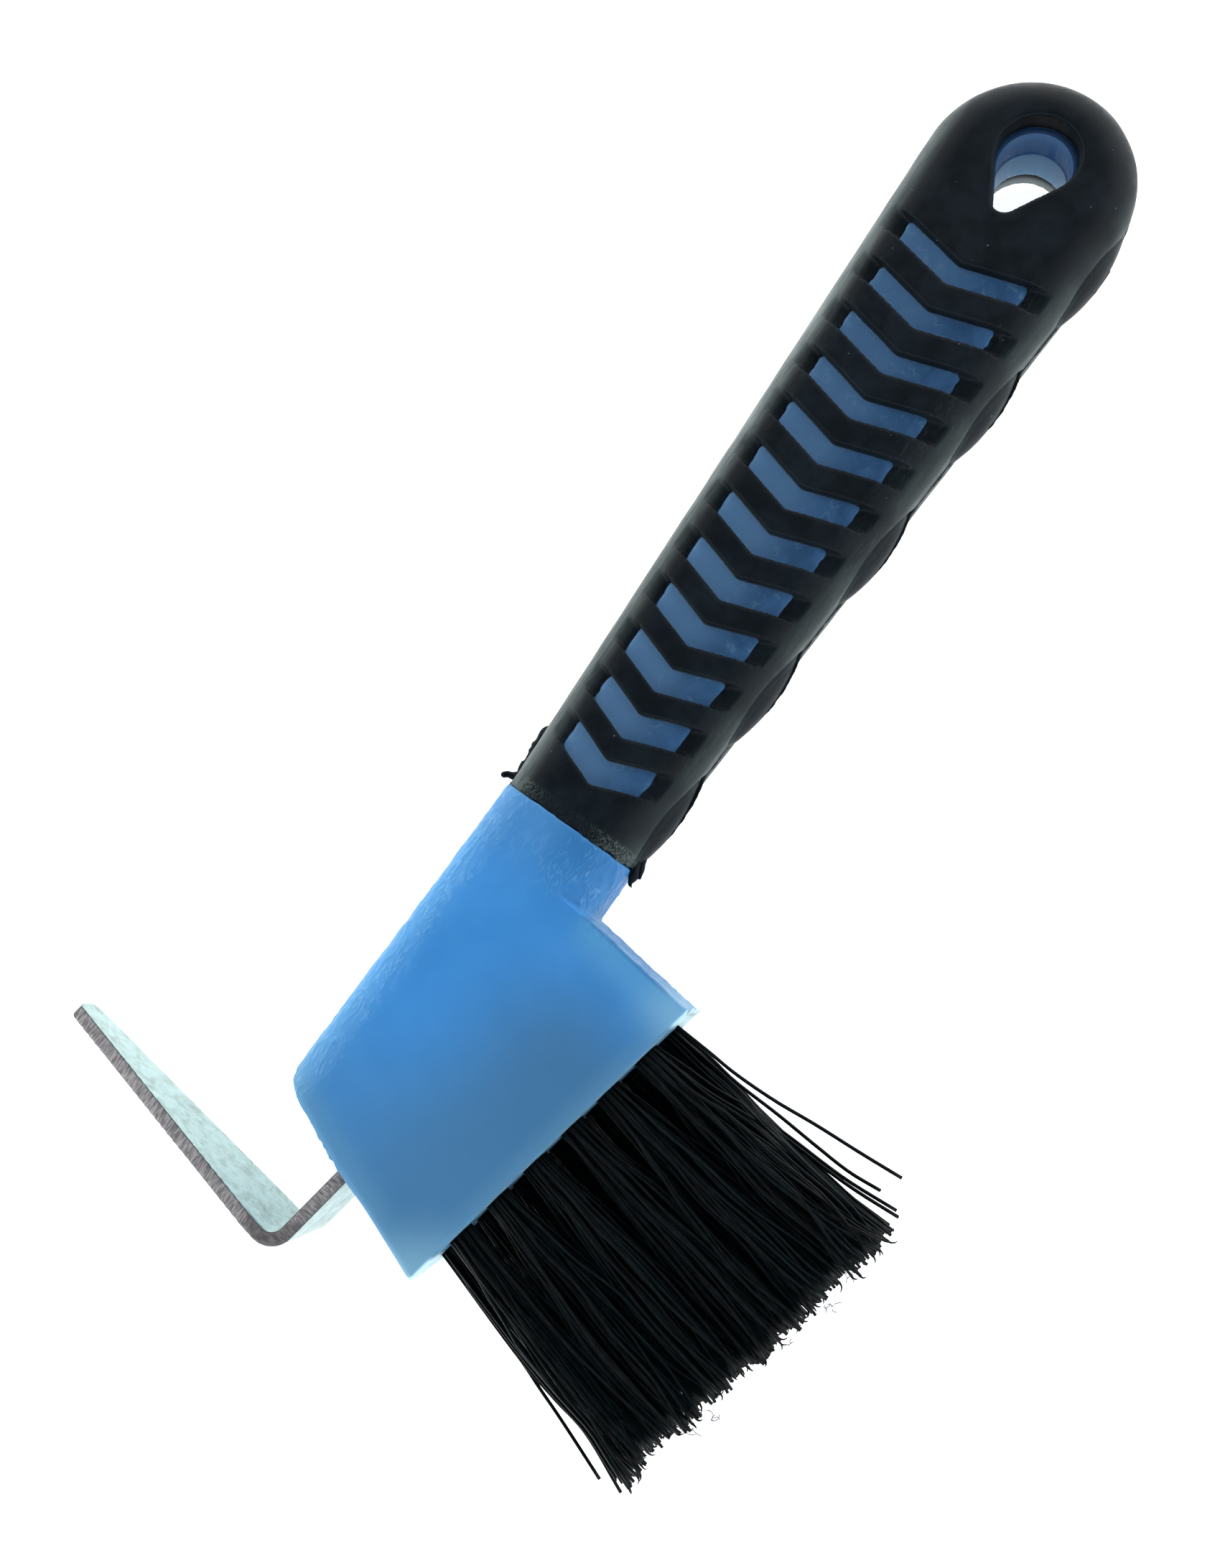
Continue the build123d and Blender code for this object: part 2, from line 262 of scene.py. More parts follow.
# ---- materials ----
def hard_plastic():
    """Milky blue polypropylene. Where it is thin, at the edges of the head, more light gets through, and
    that light is painted into its colour as paler rims.
    """
    n = Nodes("hard_plastic")
    x, y, z = n.along(UP_X), n.along(UP_Y), n.along(UP_Z)
    cloud = n.ramp(n.noise(14 * MM, detail=3, distortion=0.4), 0.3, 0.7)
    blue = n.mix(cloud, rgb(60, 132, 198), rgb(66, 139, 205))

    # the bristles' black roots darken the side near the bristle face, most at the hook's end
    to_face = n.along(FACE_OUT)
    rooted = n.times(
        n.ramp(to_face, FACE_LEVEL - 30 * MM, FACE_LEVEL - 7 * MM),
        n.ramp(x, FACE_END[0] - MM, FACE_END[0] - 17 * MM, 0.25, 0.85),
    )
    blue = n.mix(rooted, blue, rgb(66, 110, 147))
    greyer = n.ramp(x, FACE_START[0] + 34 * MM, FACE_START[0] + 10 * MM, 0.0, 0.5)
    blue = n.mix(greyer, blue, rgb(72, 122, 164))

    # painted light: pale rims where the thin plastic lets light through: (outward, its level, width,
    # share, tone, where along the head)
    near_face = n.ramp(to_face, FACE_LEVEL - 22 * MM, FACE_LEVEL - 17 * MM)
    on_head = n.ramp(x, NECK_X, NECK_X - 10 * MM)
    on_neck = n.ramp(x, NECK_X - 4 * MM, NECK_X)
    for outward, level, width, share, tone, where in (
        (FACE_OUT, FACE_LEVEL, 4 * MM, 0.45, rgb(92, 140, 172), 1.0),
        (TOP_OUT, TOP_LEVEL, 7 * MM, 0.5, rgb(88, 156, 198), 1.0),
        (LEFT_OUT, level_of(LEFT_OUT, FACE_START), 6 * MM, 0.6, rgb(94, 146, 178), on_head),
        (RIGHT_OUT, RIGHT_LEVEL - MM, 6 * MM, 0.55, rgb(94, 158, 202), near_face),
        (-UP_Y, NECK_HALF - AXIS_Y, 2.5 * MM, 0.4, rgb(84, 158, 196), on_neck),
    ):
        near = n.ramp(n.along(outward), level - width, level)
        blue = n.mix(n.times(near, where, share), blue, tone)

    # painted shade: the side towards the handle is dimmer; painted light: the two corners beside the
    # bristles are paler, where the thin plastic lets light through
    right_side_shade = n.ramp(n.along(RIGHT_OUT), RIGHT_LEVEL - 0.8 * MM, RIGHT_LEVEL - 0.2 * MM)
    right_side_shade = n.times(right_side_shade, n.ramp(y, AXIS_Y - NECK_HALF + MM, AXIS_Y - NECK_HALF))
    blue = n.mix(n.times(right_side_shade, 0.8), blue, rgb(56, 104, 146))
    corners = n.math(
        "MAXIMUM",
        n.ramp(x, FACE_START[0] + 13 * MM, FACE_START[0] + MM),
        n.ramp(x, FACE_END[0] - 9 * MM, FACE_END[0]),
    )
    corners = n.times(corners, n.ramp(to_face, FACE_LEVEL - 9 * MM, FACE_LEVEL - MM))
    blue = n.mix(n.times(corners, 0.45), blue, rgb(142, 188, 208))

    # the bristle face: painted light at its two bare ends, painted shade between the bristles
    bare_end = n.math(
        "MAXIMUM",
        n.ramp(x, FACE_START[0] + 5.5 * MM, FACE_START[0] + 4 * MM),
        n.ramp(x, FACE_END[0] - 4 * MM, FACE_END[0] - 2.5 * MM),
    )
    face_light_and_shade = n.mix(bare_end, rgb(84, 128, 158), rgb(176, 214, 226))
    blue = n.mix(n.ramp(to_face, FACE_LEVEL - 0.5 * MM, FACE_LEVEL - 0.1 * MM), blue, face_light_and_shade)

    # the neck darkens towards the cuff and towards the bristles' side
    at_neck = n.times(
        n.ramp(x, NECK_X - 6 * MM, CUFF_X),
        n.ramp(y, AXIS_Y + 6 * MM, AXIS_Y - 6 * MM, 0.6, 1.0),
    )
    neck_tone = n.mix(n.ramp(y, AXIS_Y + 4 * MM, AXIS_Y - 4 * MM), rgb(74, 128, 178), rgb(50, 112, 168))
    blue = n.mix(at_neck, blue, neck_tone)

    # lines where the melt's skin folded, near the rounded upper side and around the neck: a bump raises
    # them, and they are painted pale along them as highlights
    near_top = n.ramp(n.along(TOP_OUT), TOP_LEVEL - 8 * MM, TOP_LEVEL - 3 * MM)
    near_low = n.times(
        n.ramp(x, NECK_X - 5 * MM, NECK_X + 4 * MM),
        n.ramp(y, AXIS_Y + 2 * MM, AXIS_Y - 8 * MM, 0.3, 1.0),
    )
    folds_and_highlights = n.times(
        n.lines(2.2 * MM, 7.0, 0.3, detail=2.0, stretch=(2.4, 1, 1)),
        n.math("MAXIMUM", near_top, near_low),
        n.ramp(x, CUFF_X + MM, CUFF_X),
        n.ramp(n.noise(3.2 * MM, detail=2), 0.4, 0.62),
    )
    blue = n.mix(n.times(folds_and_highlights, 0.24), blue, rgb(134, 190, 230))

    # the core, which the windows in the sleeve show, gets no light through its sides, so it is painted
    # darker than the head, as shade, and painted lighter towards its upper side, as light
    swirl = n.ramp(n.noise(5 * MM, detail=4, distortion=1.2), 0.3, 0.7)
    core = n.mix(swirl, rgb(56, 92, 134), rgb(68, 110, 156))
    lit = n.times(
        n.ramp(y, AXIS_Y - 6 * MM, AXIS_Y + 3 * MM),
        n.ramp(x, 20 * MM, 60 * MM, 0.9, 0.6),
    )
    core = n.mix(lit, core, rgb(98, 140, 184))
    streak = n.times(n.lines(4 * MM, 4.0, 0.2, detail=2), n.ramp(n.noise(3 * MM), 0.5, 0.62))
    core = n.mix(n.times(streak, 0.4), core, rgb(110, 152, 190))
    in_core = n.ramp(x, CUFF_X, CUFF_X + 2 * MM)
    blue = n.mix(in_core, blue, core)

    # the wall of the hanging hole is smooth; it is painted paler below the plane where the mould's
    # halves meet, as light from below, and painted dark at the ledge under the front collar, as shade
    at_hole = n.times(
        n.ramp(n.off(x, HOLE_X), 12.5 * MM, 12 * MM),
        n.ramp(n.off(y, AXIS_Y), 7.5 * MM, 7 * MM),
    )
    wall = n.mix(n.ramp(z, MID_Z + 0.1 * MM, MID_Z - 0.1 * MM), rgb(70, 118, 168), rgb(128, 174, 208))
    ledge = MID_Z + CORE_FACE - COLLAR_DEPTH
    wall = n.mix(n.ramp(z, ledge - 0.6 * MM, ledge - 0.2 * MM), wall, rgb(28, 54, 86))
    blue = n.mix(at_hole, blue, wall)
    rippled = n.times(n.minus(1.0, at_hole), n.ramp(in_core, 0, 1, 1.0, 0.4))
    n.set(
        Base_Color=blue,
        Roughness=n.ramp(n.noise(2.5 * MM), 0.3, 0.7, 0.34, 0.46),
        Subsurface_Weight=0.35,
        Subsurface_Radius=(0.5, 0.9, 1.2),
        Subsurface_Scale=2.0 * MM,
        Specular_IOR_Level=0.12,
        IOR=1.49,
    )
    ripples = n.times(n.noise(2.6 * MM, detail=2, distortion=0.8), rippled)
    fine = n.times(n.noise(0.9 * MM, detail=2), rippled)
    n.bump([(folds_and_highlights, 0.09 * MM), (ripples, 0.07 * MM), (fine, 0.02 * MM)])
    return n.material


def soft_sleeve():
    """Black thermoplastic rubber, satin, with dust, fine scratches and a stippled band at the cuff."""
    n = Nodes("soft_sleeve")
    smear = n.ramp(n.noise(6 * MM, detail=5), 0.35, 0.75)
    black = n.mix(smear, rgb(13, 19, 24), rgb(20, 28, 34))
    dust = n.times(n.ramp(n.cells(2.6 * MM), 0.06, 0.04), n.ramp(n.noise(7 * MM), 0.5, 0.6))
    black = n.mix(dust, black, rgb(84, 94, 94))

    # how far a point lies outside the sleeve's two straight sides
    x, z = n.along(UP_X), n.along(UP_Z)
    above = n.minus(n.along(UP_Y), AXIS_Y)
    beside = n.math("ABSOLUTE", above)
    taper = (END_RADIUS - CUFF_HALF) / (END_X - CUFF_X)
    widening = n.times(n.minus(x, CUFF_X), taper)
    from_top = n.minus(n.minus(above, widening), CUFF_HALF)
    from_low = n.minus(n.minus(n.times(above, -1.0), widening), CUFF_HALF)

    # painted sheen on the rounded sides, strongest on the upper one, where more light falls
    streaky = n.noise(0.8 * MM, detail=4, stretch=(6, 1, 1), distortion=0.6)
    streaky = n.ramp(streaky, 0.3, 0.66, 0.55, 1.0)
    painted_sheen = n.times(
        n.ramp(from_top, -4.5 * MM, -0.8 * MM),
        streaky,
        n.ramp(from_top, 0.3 * MM, 0.1 * MM),
    )
    middle = n.times(
        n.ramp(x, 16 * MM, 32 * MM),
        n.ramp(x, END_X - 14 * MM, END_X - 24 * MM),
    )
    black = n.mix(painted_sheen, black, n.mix(middle, rgb(90, 100, 99), rgb(112, 122, 121)))
    in_rest = 0.0
    for centre in REST_CENTRES:
        in_rest = n.math("ADD", n.ramp(n.off(x, centre), 7 * MM, 3.5 * MM, 0.0, 0.75), in_rest)
    painted_low_sheen = n.times(
        n.ramp(from_low, -3 * MM, -0.6 * MM),
        streaky,
        0.5,
        n.ramp(from_low, 0.3 * MM, 0.1 * MM),
        n.minus(1.0, in_rest),
    )
    black = n.mix(painted_low_sheen, black, rgb(54, 66, 66))

    # painted sheen: pale grey-green streaks along the rounded sides, none near the round end
    sheen_streaks = n.times(
        n.ramp(beside, 7 * MM, 12 * MM),
        n.ramp(n.noise(9 * MM), 0.42, 0.62),
        n.ramp(x, END_X - 10 * MM, END_X - 24 * MM, 0.0, 0.12),
        n.ramp(n.noise(0.3 * MM, detail=4, stretch=(5, 1, 1), distortion=1.0), 0.5, 0.7),
    )
    black = n.mix(sheen_streaks, black, rgb(92, 108, 104))

    # inside the hanging hole the front collar is darker, and the back one catches light from below
    in_hole = n.times(
        n.ramp(n.off(x, HOLE_X), 9.2 * MM, 8.8 * MM),
        n.ramp(beside, 7.0 * MM, 6.6 * MM),
    )
    shaded = n.times(in_hole, n.ramp(z, MID_Z + 9.6 * MM, MID_Z + 9.0 * MM))
    black = n.mix(shaded, black, rgb(7, 9, 11))
    lit = n.times(in_hole, n.ramp(z, MID_Z - 7.0 * MM, MID_Z - 8.8 * MM))
    black = n.mix(lit, black, rgb(150, 158, 156))

    # the stippled band that the mould left at the cuff, strongest on the rounded sides
    band = n.times(
        n.ramp(x, CUFF_X + 2.7 * MM, CUFF_X + 1.9 * MM),
        n.ramp(beside, 3 * MM, 10 * MM, 0.1, 1.0),
        n.ramp(beside, CUFF_HALF + 0.4 * MM, CUFF_HALF),
    )
    grains = n.ramp(n.noise(0.34 * MM, detail=3), 0.4, 0.66)
    black = n.mix(n.times(band, grains), black, rgb(74, 86, 84))
    n.set(
        Base_Color=black,
        Roughness=n.ramp(n.noise(3 * MM, detail=5), 0.3, 0.7, 0.36, 0.5),
        Specular_IOR_Level=0.08,
        Sheen_Weight=0.14,
        Sheen_Roughness=0.22,
        Sheen_Tint=(0.75, 0.95, 0.9, 1.0),
        IOR=1.45,
    )
    scratches = n.noise(0.5 * MM, detail=3, stretch=(12, 1, 1), distortion=0.6)
    n.bump([(scratches, 0.015 * MM), (n.noise(0.25 * MM, detail=2), 0.015 * MM)])
    return n.material


def hook_steel():
    """Zinc-plated strip: pale smudged faces and darker sheared edges with fine cross streaks."""
    n = Nodes("hook_steel")
    upward = n.math("ABSOLUTE", n.along(UP_Z, n.add("ShaderNodeNewGeometry").outputs["Normal"]))
    sheared = n.ramp(upward, 0.5, 0.75)
    smudge = n.ramp(n.noise(2.6 * MM, detail=6, roughness=0.65, distortion=0.6), 0.4, 0.72)
    zinc = n.mix(smudge, rgb(162, 188, 186), rgb(132, 152, 150))
    pits = n.times(n.ramp(n.cells(1.6 * MM), 0.16, 0.1), n.ramp(n.noise(3 * MM), 0.52, 0.6))
    zinc = n.mix(n.times(pits, 0.5), zinc, rgb(96, 104, 104))

    # the shears left streaks across the strip, on its leg along X and on its blade along Y
    on_blade = n.ramp(n.along(UP_Y), BEND_Y + 2 * MM, BEND_Y + 5 * MM)
    across_leg = n.noise(0.3 * MM, detail=3, stretch=(1, 6, 1))
    across_blade = n.noise(0.3 * MM, detail=3, stretch=(6, 1, 1))
    streaks = n.ramp(n.mix(on_blade, across_leg, across_blade), 0.36, 0.64)
    bare = n.mix(streaks, rgb(104, 101, 104), rgb(160, 157, 159))
    specks = n.times(n.ramp(n.cells(0.8 * MM), 0.24, 0.16), n.ramp(n.noise(2 * MM), 0.5, 0.6))
    bare = n.mix(n.times(specks, 0.7), bare, rgb(196, 198, 198))
    at_bend = n.times(
        n.ramp(n.along(UP_X), BEND_X + 8 * MM, BEND_X + 4 * MM),
        n.ramp(n.along(UP_Y), BEND_Y + 9 * MM, BEND_Y + 4 * MM),
        0.5,
    )
    bare = n.mix(at_bend, bare, rgb(66, 62, 64))
    bare = n.mix(n.ramp(upward, 0.99, 0.85), bare, rgb(58, 56, 59))
    n.set(
        Base_Color=n.mix(sheared, zinc, bare),
        Metallic=n.ramp(sheared, 0, 1, 0.85, 0.35),
        Roughness=n.ramp(n.noise(1.2 * MM, detail=4), 0.3, 0.7, 0.3, 0.46),
    )
    n.bump([(n.noise(0.5 * MM, detail=4), 0.02 * MM), (n.noise(2.5 * MM, detail=2), 0.06 * MM)])
    return n.material


def bristle():
    """Black nylon filament with a satin shine. No two filaments are equally dark, and each varies along
    its length.
    """
    n = Nodes("bristle")
    own = n.add("ShaderNodeNewGeometry").outputs["Random Per Island"]
    shade = n.ramp(n.noise(1.5 * MM, detail=2), 0.35, 0.65, 0.0, 0.4)
    shade = n.math("ADD", shade, n.ramp(own, 0.4, 1.0, 0.0, 0.6))
    n.set(
        Base_Color=n.mix(shade, rgb(2, 5, 7), rgb(12, 24, 28)),
        Roughness=n.ramp(n.noise(0.8 * MM), 0.3, 0.7, 0.34, 0.5),
        Specular_IOR_Level=0.09,
    )
    n.bump([(n.noise(0.3 * MM, detail=1), 0.01 * MM)])
    return n.material


def lint():
    """Pale shavings of filament."""
    n = Nodes("lint")
    shade = n.ramp(n.noise(0.6 * MM, detail=2), 0.35, 0.65)
    n.set(Base_Color=n.mix(shade, rgb(70, 84, 106), rgb(128, 142, 166)), Roughness=0.5)
    return n.material


def anchor_wire():
    """Plain drawn wire, inside the head."""
    n = Nodes("anchor_wire")
    drawn = n.ramp(n.noise(0.4 * MM, stretch=(6, 1, 1)), 0.3, 0.7)
    n.set(
        Base_Color=n.mix(drawn, rgb(170, 168, 160), rgb(205, 203, 196)),
        Metallic=1.0,
        Roughness=n.ramp(drawn, 0, 1, 0.25, 0.4),
    )
    return n.material


# ---- mesh helpers ----
def add_piece(name, mesh, material, replaced=()):
    """A finished mesh as a piece of the object."""
    piece = new_object(name, mesh)
    mesh.name = name
    mesh.materials.clear()
    mesh.materials.append(material)
    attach(piece, "root")
    if replaced:
        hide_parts(*replaced)


def value_noise(points, size, seed):
    """Smooth random values from -1 to 1 at points, with features about size across."""
    side = 32
    table = np.random.default_rng(seed).uniform(-1, 1, (side, side, side))
    scaled = points / size
    cell = np.floor(scaled).astype(int)
    t = scaled - cell
    t = t * t * (3 - 2 * t)
    total = np.zeros(len(points))
    for corner in np.ndindex(2, 2, 2):
        weight = np.prod(np.where(corner, t, 1 - t), axis=1)
        i, j, k = ((cell + corner) % side).T
        total += weight * table[i, j, k]
    return total


def step(value, low, high):
    """0 below low, 1 above high, smooth between. Works with low above high too."""
    t = np.clip((value - low) / (high - low), 0, 1)
    return t * t * (3 - 2 * t)


def mesh_after_modifiers(source):
    """The mesh that an object's modifiers make. The object itself is removed."""
    ready = source.evaluated_get(bpy.context.evaluated_depsgraph_get())
    mesh = bpy.data.meshes.new_from_object(ready)
    bpy.data.objects.remove(source)
    mesh.shade_smooth()
    return mesh


def softened(node, voxel, passes):
    """A remeshed copy of a CAD node, its sharp edges slightly rounded."""
    source = new_object("source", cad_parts[node].data.copy())
    remesh = source.modifiers.new("remesh", "REMESH")
    remesh.mode = "VOXEL"
    remesh.voxel_size = voxel
    relax = source.modifiers.new("relax", "SMOOTH")
    relax.factor = 0.5
    relax.iterations = passes
    return mesh_after_modifiers(source)


def points_of(mesh, what="co"):
    """A mesh's points, one row each, or the normals at them if what is "normal"."""
    flat = np.zeros(len(mesh.vertices) * 3, np.float32)
    mesh.vertices.foreach_get(what, flat)
    return flat.reshape(-1, 3).astype(float)


def move_points(mesh, points):
    """Moves a mesh's points, none of them below the floor."""
    points[:, 2] = np.maximum(points[:, 2], 0)
    mesh.vertices.foreach_set("co", points.astype(np.float32).ravel())
    mesh.update()


def thinned(mesh, triangles):
    """The same mesh with its flat parts in fewer, larger triangles."""
    mesh.calc_loop_triangles()
    source = new_object("source", mesh)
    fewer = source.modifiers.new("fewer", "DECIMATE")
    fewer.ratio = min(1.0, triangles / len(mesh.loop_triangles))
    return mesh_after_modifiers(source)


def shell_mesh(name, stacks):
    """Closed shells. Each stack holds rings of corners, and its two end rings are capped."""
    corners, faces = [], []
    for rings in stacks:
        first = len(corners)
        count, sides, _ = rings.shape
        corners.extend(rings.reshape(-1, 3))
        for low in range(first, first + (count - 1) * sides, sides):
            for side in range(sides):
                other = (side + 1) % sides
                faces.append((low + side, low + other, low + sides + other, low + sides + side))
        last = first + (count - 1) * sides
        faces.append(tuple(first + side for side in reversed(range(sides))))
        faces.append(tuple(last + side for side in range(sides)))
    mesh = bpy.data.meshes.new(name)
    mesh.from_pydata([tuple(c) for c in corners], [], faces)
    mesh.shade_smooth()
    return mesh


def tube_mesh(name, paths, radii, sides):
    """Closed tubes along paths. Each path is an array of points, each radii an array as long."""
    turn = np.linspace(0, 2 * pi, sides, endpoint=False)[None, :, None]
    stacks = []
    for path, radius in zip(paths, radii):
        ahead = np.gradient(path, axis=0)
        ahead /= np.linalg.norm(ahead, axis=1)[:, None]
        helper = UP_X if abs(ahead[0] @ UP_Z) > 0.8 else UP_Z
        across = np.cross(ahead, helper)
        across /= np.linalg.norm(across, axis=1)[:, None]
        third = np.cross(across, ahead)
        ring = across[:, None, :] * np.cos(turn) + third[:, None, :] * np.sin(turn)
        stacks.append(path[:, None, :] + ring * radius[:, None, None])
    return shell_mesh(name, stacks)


# ---- head, neck and core ----
def top_line(x):
    """Height of the straight upper side of the head and neck at x."""
    fall = (AXIS_Y + CUFF_HALF - HEAD_TOP_LEFT[1]) / (CUFF_X - HEAD_TOP_LEFT[0])
    return HEAD_TOP_LEFT[1] + fall * (x - HEAD_TOP_LEFT[0])


def make_body(material):
    """The blue moulding, with the flow marks that the melt left near its rounded sides."""
    mesh = softened("handle_body", MOULDING_VOXEL, 1)
    points, normals = points_of(mesh), points_of(mesh, "normal")
    x, y, _ = points.T
    outside = step(x, CUFF_X + 0.5 * MM, CUFF_X - 0.5 * MM)
    near_top = step(y, top_line(x) - 9 * MM, top_line(x) - 3 * MM)
    neck_side = AXIS_Y - NECK_HALF
    near_low = step(y, neck_side + 7 * MM, neck_side + 2 * MM) * step(x, NECK_X - 2 * MM, NECK_X)
    near_right = np.clip(normals @ RIGHT_OUT, 0, 1) * step(x, NECK_X - 6 * MM, NECK_X - 2 * MM)
    marked = outside * np.maximum(np.maximum(near_top, near_low), near_right)
    bent = points + value_noise(points, 2.5 * MM, 2)[:, None] * np.array([0.3, 0.9, 0.3]) * MM
    ridges = np.clip(1 - 3.4 * np.abs(value_noise(bent, np.array([2.8, 1.2, 1.6]) * MM, 3)), 0, 1)
    fine = value_noise(points, 0.9 * MM, 4)
    broad = value_noise(points, 4.0 * MM, 5)
    height = marked * (0.13 * ridges + 0.05 * fine) * MM + outside * 0.04 * broad * MM
    height += 0.25 * MM * outside * np.clip(normals @ TOP_OUT, 0, 1)

    # the plastic swells a little where the hook's strip goes in, and is rough there
    facing_left = np.clip(normals @ LEFT_OUT, 0, 1) * step(x, NECK_X, NECK_X - 5 * MM)
    past_entry = y - HOOK_ENTRY_Y
    swell = step(past_entry, -6 * MM, 0) * step(past_entry, 11 * MM, MM)
    height += 0.35 * MM * swell * np.sqrt(facing_left)
    rough = step(past_entry, 0, 1.5 * MM) * step(past_entry, 10 * MM, 6 * MM)
    height += rough * facing_left * (0.16 + 0.22 * value_noise(points, 0.8 * MM, 6)) * MM
    points += normals * height[:, None]
    smooth_hole(points)
    move_points(mesh, points)
    body = thinned(mesh, MOST_TRIANGLES)
    add_piece("handle_body_moulding", body, material, ["handle_body"])


def smooth_hole(points):
    """Puts the points near the hanging hole's round wall exactly on it, all but those near the
    step where the mould's halves meet and near the collars' recesses."""
    from_axis = np.hypot(points[:, 0] - HOLE_X, points[:, 1] - AXIS_Y)
    off_mid = np.abs(points[:, 2] - MID_Z)
    wall = np.where(points[:, 2] > MID_Z, WALL_RADIUS_FRONT, WALL_RADIUS_BACK)
    on_wall = np.abs(from_axis - wall) < 0.35 * MM
    on_wall &= points[:, 0] > HOLE_X - MM
    on_wall &= off_mid < CORE_FACE - COLLAR_DEPTH - 0.4 * MM
    on_wall &= off_mid > 0.3 * MM
    share = np.where(on_wall, wall / np.maximum(from_axis, MM), 1.0)
    points[:, 0] = HOLE_X + (points[:, 0] - HOLE_X) * share
    points[:, 1] = AXIS_Y + (points[:, 1] - AXIS_Y) * share


# ---- sleeve ----
def core_half(x):
    """Half width of the core at x."""
    return CORE_CUFF_HALF + (CORE_END_RADIUS - CORE_CUFF_HALF) * (x - CUFF_X) / (END_X - CUFF_X)


def make_sleeve(material):
    """The black overmoulding, with uneven edges where the rubber met the core."""
    mesh = softened("grip_sleeve", MOULDING_VOXEL, 2)
    points, normals = points_of(mesh), points_of(mesh, "normal")
    x, y, z = points.T
    ledge = core_half(x) - CORE_CHAMFER
    off_edge = np.abs(np.abs(y - AXIS_Y) - ledge)
    on_floor = step(np.abs(np.abs(z - MID_Z) - CORE_FACE), 0.9 * MM, 0.4 * MM)
    at_edge = on_floor * step(off_edge, 1.3 * MM, 0.5 * MM) * step(END_X - x, 14 * MM, 18 * MM)
    wander = value_noise(points, 0.9 * MM, 11) * (0.35 + 0.5 * step(x, 50 * MM, 72 * MM)) * MM
    points[:, 1] += at_edge * wander

    # a shallow crease around each finger rest, a spindle whose axis lies below the sleeve's side
    for centre in REST_CENTRES:
        axis_at = AXIS_Y - sleeve_half(centre) - REST_RISE + REST_RADIUS
        from_centre = np.abs(x - centre)
        swelling = REST_RADIUS - REST_RISE * (from_centre * 2 / REST_LENGTH) ** 2
        off_rest = np.hypot(y - axis_at, z - MID_Z) - swelling
        crease = step(off_rest, 0.75 * MM, 0.3 * MM) * step(off_rest, 0.04 * MM, 0.2 * MM)
        crease *= step(from_centre, REST_LENGTH * 0.62, REST_LENGTH * 0.5)
        crease *= step(y, axis_at, axis_at - MM)
        points -= normals * (0.35 * MM * crease)[:, None]

    # uneven and stippled at the cuff, and nowhere quite flat
    at_cuff = step(x, CUFF_X + 1.2 * MM, CUFF_X + 0.3 * MM)
    points[:, 0] += at_cuff * (value_noise(points, 1.5 * MM, 12) * 0.6 - 0.1) * MM
    stipple = step(x, CUFF_X + 2.6 * MM, CUFF_X + 1.8 * MM)
    points += normals * (stipple * value_noise(points, 0.5 * MM, 13) * 0.09 * MM)[:, None]
    points += normals * (value_noise(points, 3 * MM, 14) * 0.04 * MM)[:, None]
    move_points(mesh, points)
    sleeve = thinned(mesh, MOST_TRIANGLES)
    add_piece("grip_sleeve_rubber", sleeve, material, ["grip_sleeve"])


# ---- hook ----
def make_hook(material):
    """The bent strip with its sheared edges slightly rounded."""
    mesh = softened("hook_strip", STRIP_VOXEL, 1)
    add_piece("hook_strip_steel", mesh, material, ["hook_strip"])


# ---- bristles ----
FILAMENTS = 56
FILAMENT_RADIUS = 0.228 * MM
STRAY_RADIUS = 0.27 * MM
THREAD_RADIUS = 0.06 * MM
ROOT_RADIUS = 1.95 * MM             # of the bundle, where it leaves its hole
ROOT_INSET = 1.5 * MM               # how far inside its hole a filament starts
TIP_SPREAD = 2.1                    # how many times wider the bundle is at its tips
TIP_SCATTER = 1.5 * MM              # along the face, and in height
TIP_SCATTER_UP = 0.7 * MM
LEVELS = 22                         # points along a filament
CRIMPS = 2.6                        # waves along a filament
FLOOR_GAP = 0.4 * MM                # no filament lies closer to the floor
BULGE_KEPT = 0.1                    # of what would stick out of the bank's sides
BURR_SHARE = 0.22                   # share of the filaments that end in a burr
BURR_TURNS = 0.26                   # how far round a burr or a thread curls
THREAD_TURNS = 0.35
THREADS = 4                         # in each bit of lint

# loose filaments at the bank's two sides: (height, points from root to tip), mm
STRAYS = [
    (14.2, [(-46.9, -17.0), (-47.2, -24.0), (-47.5, -29.0), (-47.3, -35.8), (-46.6, -42.8),
            (-46.1, -49.9), (-45.5, -56.8)]),
    (12.0, [(-47.3, -17.0), (-47.9, -24.5), (-48.6, -29.7), (-48.8, -37.4), (-49.2, -44.6),
            (-49.4, -50.4), (-48.9, -55.6)]),
    (10.0, [(-47.8, -17.0), (-49.0, -29.7), (-50.4, -37.0), (-50.6, -42.5), (-50.7, -50.7),
            (-50.0, -59.2)]),
    (11.5, [(-48.0, -17.0), (-49.2, -29.7), (-50.7, -37.0), (-51.0, -43.0), (-51.1, -51.5),
            (-50.5, -59.8)]),
    (10.0, [(-95.5, -8.0), (-100.2, -25.6), (-102.2, -32.0), (-103.9, -37.5), (-106.9, -46.4)]),
    (10.5, [(-95.3, -8.0), (-100.1, -25.6), (-101.8, -34.2), (-102.9, -41.1), (-106.3, -49.9)]),
    (8.0, [(-94.9, -8.0), (-99.3, -25.6), (-101.0, -34.4), (-102.2, -41.3), (-105.3, -50.6)]),
]

# the bank's two sides: how far -Y they reach, and their X there, in mm
RIGHT_SIDE = [(18, -47.3), (30, -49.0), (35, -50.2), (41, -51.2), (46, -52.0), (53, -52.7),
              (58, -52.6)]
LEFT_SIDE = [(8.8, -95.7), (25.6, -99.8), (34.2, -101.4), (41.1, -102.4), (49.9, -105.6)]
LEFT_LEAN = 0.3                     # the left side leans inward towards the front face

